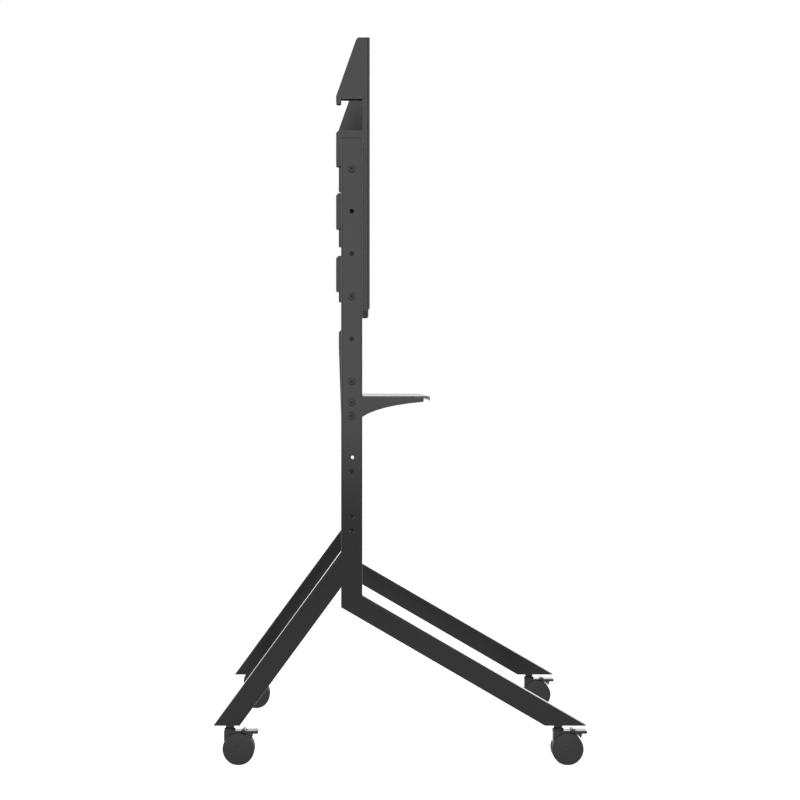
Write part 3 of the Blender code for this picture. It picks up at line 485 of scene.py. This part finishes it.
def tubeShape(through, direction, deepWay, planes, holeHeights=(), openEnds=()):
    # a rectangular tube along a direction, cut by two planes, with holes through its side walls
    shape = bmesh.new()
    outlines = []
    for inset in (0, tube["wall"]):
        outlines.append(roundedSection(tube["width"] - 2 * inset, tube["depth"] - 2 * inset,
                                       tube["corner"] - inset, tube["cornerSteps"]))

    def corner(side, deep, plane):
        start = through + across * side + deepWay * deep
        return shape.verts.new(start + direction * ((plane[0] - start).dot(plane[1]) / direction.dot(plane[1])))

    count = len(outlines[0])
    rings = [[[corner(*point, plane) for point in outline] for plane in planes] for outline in outlines]
    flats = {count - 1: 1, 2 * tube["cornerSteps"] + 1: -1} if holeHeights else {}
    seams = {}
    holeRings = []
    for layer, (outline, (low, high)) in enumerate(zip(outlines, rings)):
        for index in range(count):
            after = (index + 1) % count
            if index not in flats:
                shape.faces.new((low[index], low[after], high[after], high[index]))
                continue
            side = outline[index].x
            plus, minus = (after, index) if flats[index] > 0 else (index, after)
            seams[layer, index] = [corner(side, 0, plane) for plane in planes]
            openings = []
            for height in holeHeights:
                ring = []
                for turn in fullTurn(tube["holeSteps"]):
                    place = Vector((through.x + side, through.y, height))
                    place += tube["holeRadius"] * Vector((0, math.sin(turn), -math.cos(turn)))
                    ring.append(shape.verts.new(place))
                openings.append(ring)
            seamPanel(shape, (low[plus], high[plus]), (low[minus], high[minus]), seams[layer, index], openings)
            holeRings.append(openings)
    for near, far in ((0, 2), (1, 3)) if holeRings else ():
        for outer, inner in zip(holeRings[near], holeRings[far]):
            joinRings(shape, outer, inner)
    for end in (0, 1):
        for index in range(count):
            after = (index + 1) % count
            loop = [rings[0][end][index], rings[0][end][after], rings[1][end][after], rings[1][end][index]]
            if index in flats:
                loop.insert(1, seams[0, index][end])
                loop.insert(4, seams[1, index][end])
            shape.faces.new(loop)
    bmesh.ops.recalc_face_normals(shape, faces=shape.faces)
    rims = [ring for openings in holeRings[:2] for ring in openings] + [rings[0][end] for end in openEnds]
    edges = set()
    for ring in rims:
        members = set(ring)
        edges |= {edge for vert in ring for edge in vert.link_edges if edge.other_vert(vert) in members}
    if edges:
        bmesh.ops.bevel(shape, geom=list(edges), offset=tube["holeEdge"], offset_type="OFFSET",
                        segments=tube["edgeSteps"], profile=0.5, affect="EDGES", material=-1)
    return shape


def legLine(side, angle, heading, tip):
    turn = math.radians(angle)
    direction = Vector((0, -heading * math.cos(turn), -math.sin(turn)))
    upward = Vector((0, -heading * math.sin(turn), math.cos(turn)))
    return Vector((side, tip, legBottom)) - upward * tube["depth"] / 2, direction, upward


def mitrePlane(tip):
    # the cut from the front face of a column down to its rear face
    turn = math.radians(tube["frontAngle"])
    reach = columnMiddle - tip
    front = legBottom + (reach - tube["depth"] / 2) * math.tan(turn)
    drop = tube["depth"] * (1 - math.sin(turn)) / math.cos(turn)
    normal = Vector((0, drop, tube["depth"])).normalized()
    return Vector((0, columnMiddle, front - drop / 2)), normal


def shifted(plane, distance):
    return plane[0] + plane[1] * distance, plane[1]


def columnHoles():
    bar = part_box("upper_crossbar")
    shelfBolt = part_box("left_upper_shelf_bolt")
    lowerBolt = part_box("left_lower_shelf_bolt")
    barHeight = (bar[0].z + bar[1].z) / 2
    first = (shelfBolt[0].z + shelfBolt[1].z) / 2
    second = (lowerBolt[0].z + lowerBolt[1].z) / 2
    heights = [barHeight - tube["holePitch"] * index for index in range(tube["holeCount"])]
    for drop in tube["shelfDrops"]:
        heights += [first - drop, second - drop]
    return sorted(heights)


def coat(name, shape, replaced=(), bevelWidth=0.0, body="frame"):
    return finishPiece(name, shape, "powderCoat", body, replaced, bevelWidth)


def dressSideFrame(side):
    low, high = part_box(f"{side}_column")
    middle = (low.x + high.x) / 2
    axis = Vector((middle, columnMiddle, 0))
    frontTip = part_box(f"{side}_front_leg")[0].y
    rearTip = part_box(f"{side}_rear_leg")[1].y
    mitre = mitrePlane(frontTip)
    halfGap = tube["gap"] / 2
    shape = tubeShape(axis, upright, rearward, (shifted(mitre, halfGap), planeAt(high.z)), columnHoles())
    coat(f"{side}ColumnTube", shape, (f"{side}_column",))
    line = legLine(middle, tube["frontAngle"], 1, frontTip)
    shape = tubeShape(*line, (shifted(mitre, -halfGap), planeAt(legBottom)), openEnds=(1,))
    coat(f"{side}FrontLegTube", shape, (f"{side}_front_leg",))
    shape = tubeShape(axis, upright, rearward, (shifted(mitre, -halfGap), shifted(mitre, halfGap)))
    coat(f"{side}MitreWeld", shape)
    rearFace = Vector((0, high.y, 0)), rearward
    line = legLine(middle, tube["rearAngle"], -1, rearTip)
    shape = tubeShape(*line, (shifted(rearFace, tube["gap"]), planeAt(legBottom)), openEnds=(1,))
    coat(f"{side}RearLegTube", shape, (f"{side}_rear_leg",))
    dressRearWelds(side, middle, rearTip, high.y)


def dressRearWelds(side, middle, rearTip, rearFace):
    # weld metal, ground flush, between a column's rounded rear corners and the end of its rear leg
    turn = math.radians(tube["rearAngle"])
    radius = tube["corner"]
    top = legBottom + (rearTip - rearFace) * math.tan(turn) - radius / math.cos(turn)
    bottom = top - (tube["depth"] - 2 * radius) / math.cos(turn)
    for face, way in (("Outer", -1), ("Inner", 1)):
        edge = middle + way * tube["width"] / 2
        profile = [(edge, rearFace + tube["gap"]), (edge, rearFace - radius)]
        for step in range(1, tube["weldSteps"] + 1):
            angle = math.radians(90 * step / tube["weldSteps"])
            profile.append((edge - way * radius * (1 - math.cos(angle)), rearFace - radius * (1 - math.sin(angle))))
        profile.append((edge - way * radius, rearFace + tube["gap"]))
        loops = []
        for height in (bottom, top):
            loops.append([Vector((x, y, height - math.tan(turn) * (y - rearFace))) for x, y in profile])
        coat(f"{side}RearLeg{face}Weld", stackedShape(loops))


bar = {"size": 0.050, "wall": 0.002, "corner": 0.004, "cornerSteps": 6, "flatSteps": 5, "plate": 0.006,
       "bossRadius": 0.009, "bossLength": 0.010, "thread": 0.0055, "edge": 0.0004}
cap = {"plug": 0.014, "edge": 0.0008, "thickness": 0.003, "inset": 0.0023, "shoulder": 0.3}


def dressCrossbars():
    outer = roundedSection(bar["size"], bar["size"], bar["corner"], bar["cornerSteps"], bar["flatSteps"])
    hollow = bar["size"] - 2 * bar["wall"]
    inner = roundedSection(hollow, hollow, bar["corner"] - bar["wall"], bar["cornerSteps"], bar["flatSteps"])
    thread = likeCircle(outer, bar["thread"])
    boss = likeCircle(outer, bar["bossRadius"])
    for name in ("upper", "lower"):
        low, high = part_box(name + "_crossbar")
        middle = (low + high) / 2
        end = high.x
        back = end - bar["plate"]
        bossBack = back - bar["bossLength"]
        stack = [(outer, -end), (outer, end), (thread, end), (thread, bossBack), (boss, bossBack), (boss, back),
                 (inner, back), (inner, -back), (boss, -back), (boss, -bossBack), (thread, -bossBack), (thread, -end)]
        loops = [[Vector((place, middle.y + a, middle.z + b)) for a, b in outline] for outline, place in stack]
        coat(name + "CrossbarTube", stackedShape(loops, closed=True), (name + "_crossbar",), bar["edge"])


def dressCaps():
    size = tube["width"], tube["depth"], tube["corner"]
    inset = cap["inset"]
    plug = roundedSection(size[0] - 2 * inset, size[1] - 2 * inset, size[2] - tube["wall"], tube["cornerSteps"])
    plate = roundedSection(*size, tube["cornerSteps"])
    edge = cap["edge"]
    step = edge * cap["shoulder"]
    shoulder = roundedSection(size[0] - 2 * step, size[1] - 2 * step, size[2] - step, tube["cornerSteps"])
    crown = roundedSection(size[0] - 2 * edge, size[1] - 2 * edge, size[2] - edge, tube["cornerSteps"])
    for side in sides:
        low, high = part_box(f"{side}_column_cap")
        middle = (low + high) / 2
        top = high.z
        foot = top - cap["thickness"]
        stack = [(plug, foot - cap["plug"]), (plug, foot), (plate, foot), (plate, top - edge),
                 (shoulder, top - step), (crown, top)]
        loops = [[Vector((middle.x + a, middle.y + b, height)) for a, b in outline] for outline, height in stack]
        finishPiece(f"{side}ColumnCapMoulding", stackedShape(loops), "capPlastic", "frame",
                    (f"{side}_column_cap",))


plateEdges = {"footPlate": 0.0005, "bracket": 0.0006, "shelf": 0.0004, "trough": 0.0003, "endPlate": 0.0005}


def dressPlates():
    coat("shelfSheet", mergedCopy("shelf"), ("shelf",), plateEdges["shelf"])
    coat("troughSheet", mergedCopy("cable_trough"), ("cable_trough",), plateEdges["trough"])
    for side in sides:
        for part, label, key in (
            ("front_foot_plate", "FrontFootPlate", "footPlate"), ("rear_foot_plate", "RearFootPlate", "footPlate"),
            ("shelf_bracket", "ShelfBracket", "bracket"), ("trough_end_plate", "TroughEndPlate", "endPlate"),
        ):
            coat(f"{side}{label}Coat", mergedCopy(f"{side}_{part}"), (f"{side}_{part}",), plateEdges[key])


for side in sides:
    dressSideFrame(side)
dressCrossbars()
dressCaps()
dressPlates()
print("side frames, crossbars and plates dressed")


arm = {
    "width": 0.040, "sheet": 0.0025, "front": 0.043, "bend": 0.0065, "bendSteps": 8, "mouthFront": 0.0255,
    "lipFront": 0.0255, "lipThickness": 0.0122, "lipLength": 0.0109, "lipCorner": 0.003, "lipSteps": 4, "hooks": 4,
    "hookPitch": 0.150, "topRise": 0.1477, "notch": 0.0748, "blockCorner": 0.006, "earDrop": 0.1405,
    "earTop": 0.015, "earCorner": (0.0051, 0.006), "footCorner": 0.004, "slotWidth": 0.0085, "slotLength": 0.055,
    "slotPitch": 0.080, "slots": 8, "slotSteps": 6, "edge": 0.0005,
}


def armOutline(bottom, top, bendStart):
    rear = -arm["lipFront"] - arm["lipThickness"]
    lipFront = -arm["lipFront"]
    corner = arm["lipCorner"]
    run, drop = arm["earCorner"]
    points = [(bendStart, bottom), (bendStart, top), (arm["earTop"], top), (arm["earTop"] - run, top - drop)]
    points.append((rear, top - arm["earDrop"]))
    for index in range(arm["hooks"]):
        mouth = top - arm["topRise"] - index * arm["hookPitch"]
        lip = mouth - arm["lipLength"]
        points += quarterRound((rear + corner, lip + corner), corner, 180, 270, arm["lipSteps"])
        points += quarterRound((lipFront - corner, lip + corner), corner, 270, 360, arm["lipSteps"])
        points += [(lipFront, mouth), (arm["mouthFront"], mouth)]
        if index < arm["hooks"] - 1:
            block = mouth - arm["notch"]
            cut = arm["blockCorner"]
            points += [(arm["mouthFront"], block), (rear + cut, block), (rear, block - cut)]
    points.append((arm["mouthFront"], bottom))
    return points


def slotRing(shape, middle, forward, height):
    radius = arm["slotWidth"] / 2
    half = arm["slotLength"] / 2 - radius
    outline = quarterRound((0, -half), radius, -90, 0, arm["slotSteps"])
    outline += quarterRound((0, half), radius, 0, 180, 2 * arm["slotSteps"])
    outline += quarterRound((0, -half), radius, 180, 270, arm["slotSteps"])[:-1]
    return [shape.verts.new((middle + a, columnMiddle - forward, height + b)) for a, b in outline]


def armShape(middle, bottom, top):
    # a channel bent from one sheet: two cut side walls, two bends and a front wall with slots
    shape = bmesh.new()
    bendStart = arm["front"] - arm["bend"]
    outline = armOutline(bottom, top, bendStart)

    def corner(side, forward, height):
        return shape.verts.new((middle + side, columnMiddle - forward, height))

    def foot(forward):
        return bottom + max(0.0, forward - arm["front"] + arm["footCorner"])

    half = arm["width"] / 2
    paths = {}
    for sign in (1, -1):
        walls = [[corner(sign * (half - inset), *point) for point in outline] for inset in (0, arm["sheet"])]
        shape.faces.new(walls[0])
        shape.faces.new(walls[1])
        for index in range(1, len(outline)):
            after = (index + 1) % len(outline)
            shape.faces.new((walls[0][index], walls[0][after], walls[1][after], walls[1][index]))
        for layer, inset in enumerate((0, arm["sheet"])):
            centre = half - arm["bend"], bendStart
            bend = quarterRound(centre, arm["bend"] - inset, 0, 90, arm["bendSteps"])[1:]
            low = [walls[layer][0]] + [corner(sign * a, b, foot(b)) for a, b in bend]
            high = [walls[layer][1]] + [corner(sign * a, b, top) for a, b in bend]
            paths[sign, layer] = low, high
            for index in range(arm["bendSteps"]):
                shape.faces.new((low[index], low[index + 1], high[index + 1], high[index]))
        for end in (0, 1):
            outer, inner = paths[sign, 0][end], paths[sign, 1][end]
            for index in range(arm["bendSteps"]):
                shape.faces.new((outer[index], outer[index + 1], inner[index + 1], inner[index]))
    seams, slotRings = [], []
    for layer, forward in enumerate((arm["front"], arm["front"] - arm["sheet"])):
        seam = corner(0, forward, foot(forward)), corner(0, forward, top)
        rings = []
        for index in range(arm["slots"]):
            height = (top + bottom) / 2 + (index - (arm["slots"] - 1) / 2) * arm["slotPitch"]
            rings.append(slotRing(shape, middle, forward, height))
        plus = [path[-1] for path in paths[1, layer]]
        minus = [path[-1] for path in paths[-1, layer]]
        seamPanel(shape, plus, minus, seam, rings)
        seams.append(seam)
        slotRings.append(rings)
    for outer, inner in zip(*slotRings):
        joinRings(shape, outer, inner)
    for end in (0, 1):
        outer = paths[1, 0][end][-1], seams[0][end], paths[-1, 0][end][-1]
        inner = paths[-1, 1][end][-1], seams[1][end], paths[1, 1][end][-1]
        shape.faces.new((*outer, *inner))
    return shape


for side in sides:
    low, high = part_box(f"{side}_display_arm")
    shape = armShape((low.x + high.x) / 2, low.z, high.z)
    coat(f"{side}ArmChannel", shape, (f"{side}_display_arm",), arm["edge"], f"{side}_arm")
print("display arms dressed")


wheel = {
    "radius": 0.03749, "innerFace": 0.010, "width": 0.019, "rim": 0.0050, "dish": 0.0015, "steps": 96,
    "treadRing": 0.0028, "shoulderSteps": 8, "dome": 0.0022, "domeSteps": 8, "recess": 0.0064, "web": 0.005,
    "hub": 0.009, "bore": 0.0041, "draft": 0.001, "split": 0.0001, "discEdge": 0.0002, "innerChamfer": 0.0006,
    "innerRound": (0.0016, 0.0004), "innerRise": 0.0018,
}


def dressWheel(body, hub, way):
    # the tread is the ring that rolls, the disc is the moulded wheel inside it with its domed face
    axis = Vector((way, 0, 0))
    inner = wheel["innerFace"]
    outer = inner + wheel["width"]
    radius = wheel["radius"]
    rimInside = radius - wheel["rim"]
    shoulder = wheel["treadRing"]
    seat = radius - shoulder
    edgeFace = outer - wheel["dome"]
    chamfer = inner + wheel["innerChamfer"]
    wide, narrow = wheel["innerRound"]
    tread = [(seat, chamfer), (radius - wide, inner), (radius - narrow, chamfer), (radius, inner + wheel["innerRise"])]
    tread += quarterRound((seat, edgeFace - shoulder), shoulder, 0, 90, wheel["shoulderSteps"])
    finishPiece(body + "Tread", spun(tread, hub, axis, upright, wheel["steps"]), "treadPlastic",
                body, (body + "_wheel",))
    face = outer - wheel["dish"]
    webBack = face - wheel["web"]
    rim = seat - wheel["split"]
    disc = [(wheel["bore"], inner), (wheel["hub"], inner), (wheel["hub"] + wheel["draft"], webBack),
            (rimInside - wheel["draft"], webBack), (rimInside, inner), (rim, inner)]
    for step in range(wheel["domeSteps"] + 1):
        reach = rim + (wheel["recess"] - rim) * step / wheel["domeSteps"]
        disc.append((reach, outer - wheel["dome"] * (reach / seat) ** 2))
    disc += [(wheel["recess"], face), (wheel["bore"], face)]
    finishPiece(body + "Disc", spun(disc, hub, axis, upright, wheel["steps"]), "discPlastic",
                body, (), wheel["discEdge"])


caster = {"bodyEdge": 0.0008, "pedalEdge": 0.0007, "edgeSteps": 3, "steps": 48}
stem = {"pin": 0.0055, "pinLength": 0.040, "pinEdge": 0.0008, "flange": 0.010, "flangeHeight": 0.006,
        "flangeEdge": 0.0008, "thread": 0.006, "threadEdge": 0.0012}
axle = {"radius": 0.004, "head": 0.006, "headHeight": 0.0012, "headEdge": 0.0004, "crown": 0.0001, "flat": 0.0020}


def dressStem(name):
    low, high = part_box(name + "_stem")
    base = Vector(((low.x + high.x) / 2, (low.y + high.y) / 2, low.z))
    shoulder = stem["pinLength"] + tube["gap"]
    top = shoulder + stem["flangeHeight"]
    pin, pinEdge = stem["pin"], stem["pinEdge"]
    flange, edge = stem["flange"], stem["flangeEdge"]
    thread, threadEdge = stem["thread"], stem["threadEdge"]
    length = high.z - low.z
    profile = [(pin - pinEdge, 0), (pin, pinEdge), (pin, shoulder),
               (flange - edge, shoulder), (flange, shoulder + edge), (flange, top - edge), (flange - edge, top),
               (thread, top), (thread, length - threadEdge), (thread - threadEdge, length)]
    finishPiece(name + "Stem", turned(profile, base, upright, caster["steps"]), "blackZinc", "frame",
                (name + "_stem",))


def dressAxle(name, hub, length):
    half = length / 2
    headIn = half - axle["headHeight"]
    head, edge = axle["head"], axle["headEdge"]
    end = [(axle["radius"], headIn), (head, headIn), (head, half - edge), (head - edge, half - axle["crown"]),
           (axle["flat"], half)]
    profile = [(radius, -along) for radius, along in end[::-1]] + end
    finishPiece(name + "Axle", turned(profile, hub, across, caster["steps"]), "axleSteel", name + "_fork",
                (name + "_axle",))


def dressCasters():
    for side, sign in sides.items():
        for end in ends:
            name = f"{side}_{end}_caster"
            low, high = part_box(name + "_axle")
            hub = (low + high) / 2
            for kind, way in (("outer", sign), ("inner", -sign)):
                dressWheel(f"{name}_{kind}", hub, way)
            finishPiece(name + "Body", mergedCopy(name + "_body"), "casterPlastic", name + "_fork",
                        (name + "_body",), caster["bodyEdge"], caster["edgeSteps"])
            finishPiece(name + "Pedal", mergedCopy(name + "_brake_pedal"), "casterPlastic", name + "_brake",
                        (name + "_brake_pedal",), caster["pedalEdge"], caster["edgeSteps"])
            dressStem(name)
            dressAxle(name, hub, high.x - low.x)


dressCasters()
print("casters dressed")


bolt = {
    "radius": 0.005, "tipEdge": 0.0008, "head": 0.009, "headHeight": 0.0055, "headEdge": 0.0003, "skirt": 0.0012,
    "flat": 0.0048, "domeSteps": 6, "socket": 0.006, "socketDepth": 0.0033, "steps": 48, "rimEdge": 0.0004,
    "drillDepth": 0.0014, "drillTip": 0.0003,
}
screw = {"flat": 0.0030, "cone": (0.0042, 0.0005), "head": 0.0045, "coneHeight": 0.0012, "headHeight": 0.0026,
         "shank": 0.0023, "tipEdge": 0.0004, "steps": 32}


def hexagonRadius(apothem, turn):
    wedge = math.radians(60)
    return apothem / math.cos((turn % wedge) - wedge / 2)


def boltShape(face, axis, length):
    # button head with a hexagon socket. The face is where the head rests.
    turns = fullTurn(bolt["steps"])
    spokes = [rearward * math.cos(turn) + axis.cross(rearward) * math.sin(turn) for turn in turns]

    def ring(radius, along):
        return [face + axis * along + radius * spoke for spoke in spokes]

    def hexagon(apothem, along):
        return [face + axis * along + hexagonRadius(apothem, turn) * spoke for turn, spoke in zip(turns, spokes)]

    top = bolt["headHeight"]
    tip, edge, skirt = bolt["tipEdge"], bolt["headEdge"], bolt["skirt"]
    loops = [ring(bolt["radius"] - tip, -length), ring(bolt["radius"], tip - length), ring(bolt["radius"], 0),
             ring(bolt["head"] - edge, 0), ring(bolt["head"], edge), ring(bolt["head"], skirt)]
    for step in range(1, bolt["domeSteps"] + 1):
        turn = math.radians(90 * step / bolt["domeSteps"])
        radius = bolt["flat"] + (bolt["head"] - bolt["flat"]) * math.cos(turn)
        loops.append(ring(radius, skirt + (top - skirt) * math.sin(turn)))
    rim = bolt["rimEdge"]
    apothem = bolt["socket"] / 2
    bottom = top - bolt["socketDepth"]
    loops += [hexagon(apothem + rim, top), hexagon(apothem, top - rim), hexagon(apothem, bottom),
              ring(bolt["drillTip"], bottom - bolt["drillDepth"])]
    return stackedShape(loops)


def dressFasteners():
    for side, sign in sides.items():
        for kind, label in (("upper_crossbar", "UpperCrossbar"), ("lower_crossbar", "LowerCrossbar"),
                            ("trough", "Trough"), ("upper_shelf", "UpperShelf"), ("lower_shelf", "LowerShelf")):
            node = f"{side}_{kind}_bolt"
            low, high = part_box(node)
            middle = (low + high) / 2
            tip = high.x if sign > 0 else low.x
            face = Vector((tip - sign * bolt["headHeight"], middle.y, middle.z))
            shape = boltShape(face, across * sign, high.x - low.x - bolt["headHeight"])
            finishPiece(f"{side}{label}Bolt", shape, "blackZinc", "frame", (node,))
        for end, label in (("front", "Front"), ("rear", "Rear")):
            node = f"{side}_{end}_shelf_screw"
            low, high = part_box(node)
            base = Vector(((low.x + high.x) / 2, (low.y + high.y) / 2, low.z))
            length = high.z - low.z
            head, shank, tip = screw["head"], screw["shank"], screw["tipEdge"]
            profile = [(screw["flat"], 0), screw["cone"], (head, screw["coneHeight"]), (head, screw["headHeight"]),
                       (shank, screw["headHeight"]), (shank, length - tip), (shank - tip, length)]
            finishPiece(f"{side}{label}ShelfScrew", turned(profile, base, upright, screw["steps"]), "blackZinc",
                        "frame", (node,))


dressFasteners()
print("fasteners dressed")
